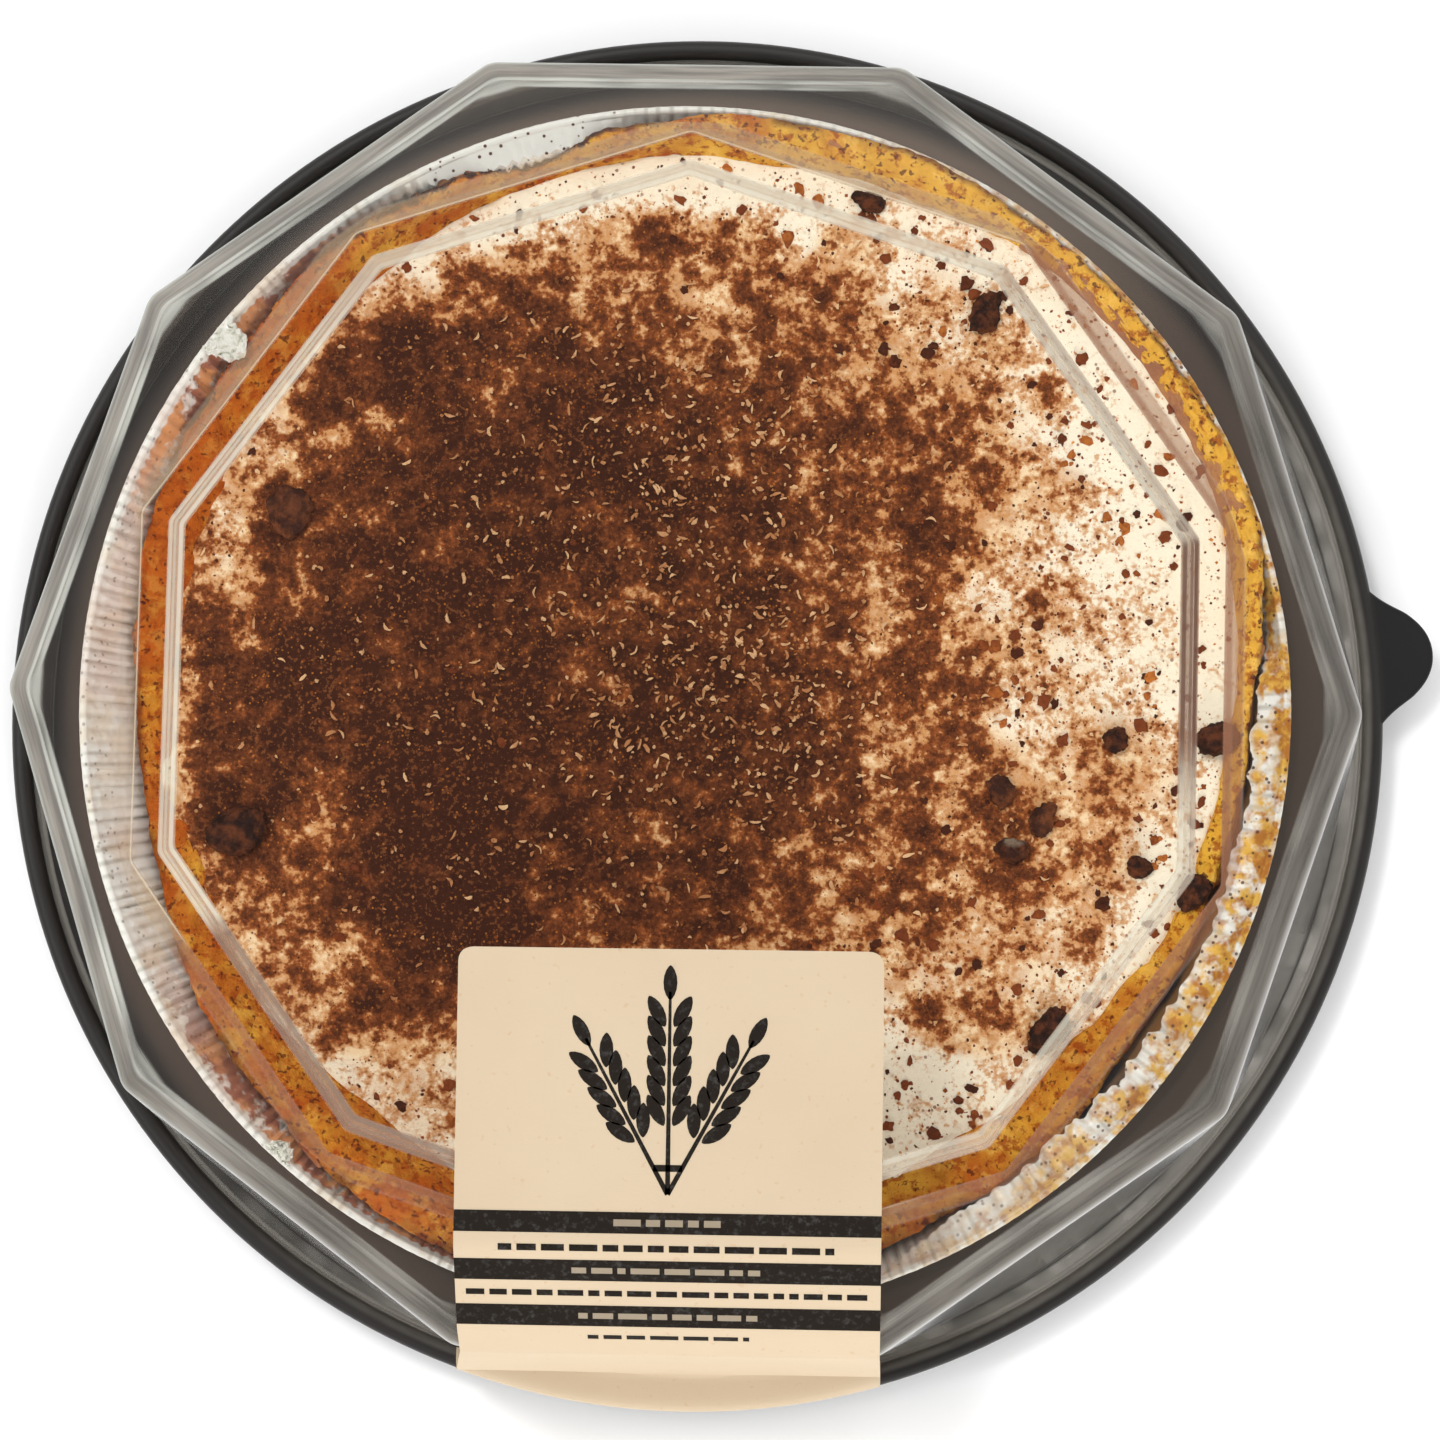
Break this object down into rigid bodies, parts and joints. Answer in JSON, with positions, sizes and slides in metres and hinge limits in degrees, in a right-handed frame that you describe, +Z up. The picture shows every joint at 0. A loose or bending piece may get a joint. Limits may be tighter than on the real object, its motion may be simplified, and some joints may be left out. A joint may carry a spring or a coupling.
{
  "type": "coffee creamer tart",
  "caption": "Baked tart with cocoa-dusted cream filling in a foil dish, shut in a round black tray under a clear faceted dome lid with a paper label.",
  "frame": {"origin": "centre of the round tray's flat underside, on the axis of the tray and lid", "axes": "+Z up through the lid; -Y towards the label; +X towards the tray's thumb tab"},
  "size_m": [0.2775, 0.2686, 0.0706],
  "materials": {
    "tray": "black thermoformed plastic, satin",
    "lid": "clear thermoformed plastic",
    "label": "kraft paper with dark brown print",
    "foil": "bright crinkled foil",
    "crust": "baked shortcrust pastry, golden brown",
    "filling": "soft set cream dusted with cocoa",
    "chunk": "dark chocolate crumb"
  },
  "bodies": {
    "root": {"base_tray": "tray", "lid": "lid", "label": "label", "foil_dish": "foil", "crust": "crust", "filling": "filling", "chunk_1": "chunk", "chunk_2": "chunk", "chunk_3": "chunk", "chunk_4": "chunk", "chunk_5": "chunk", "chunk_6": "chunk", "chunk_7": "chunk", "chunk_8": "chunk", "chunk_9": "chunk", "chunk_10": "chunk", "chunk_11": "chunk", "chunk_12": "chunk"}
  },
  "joints": []
}
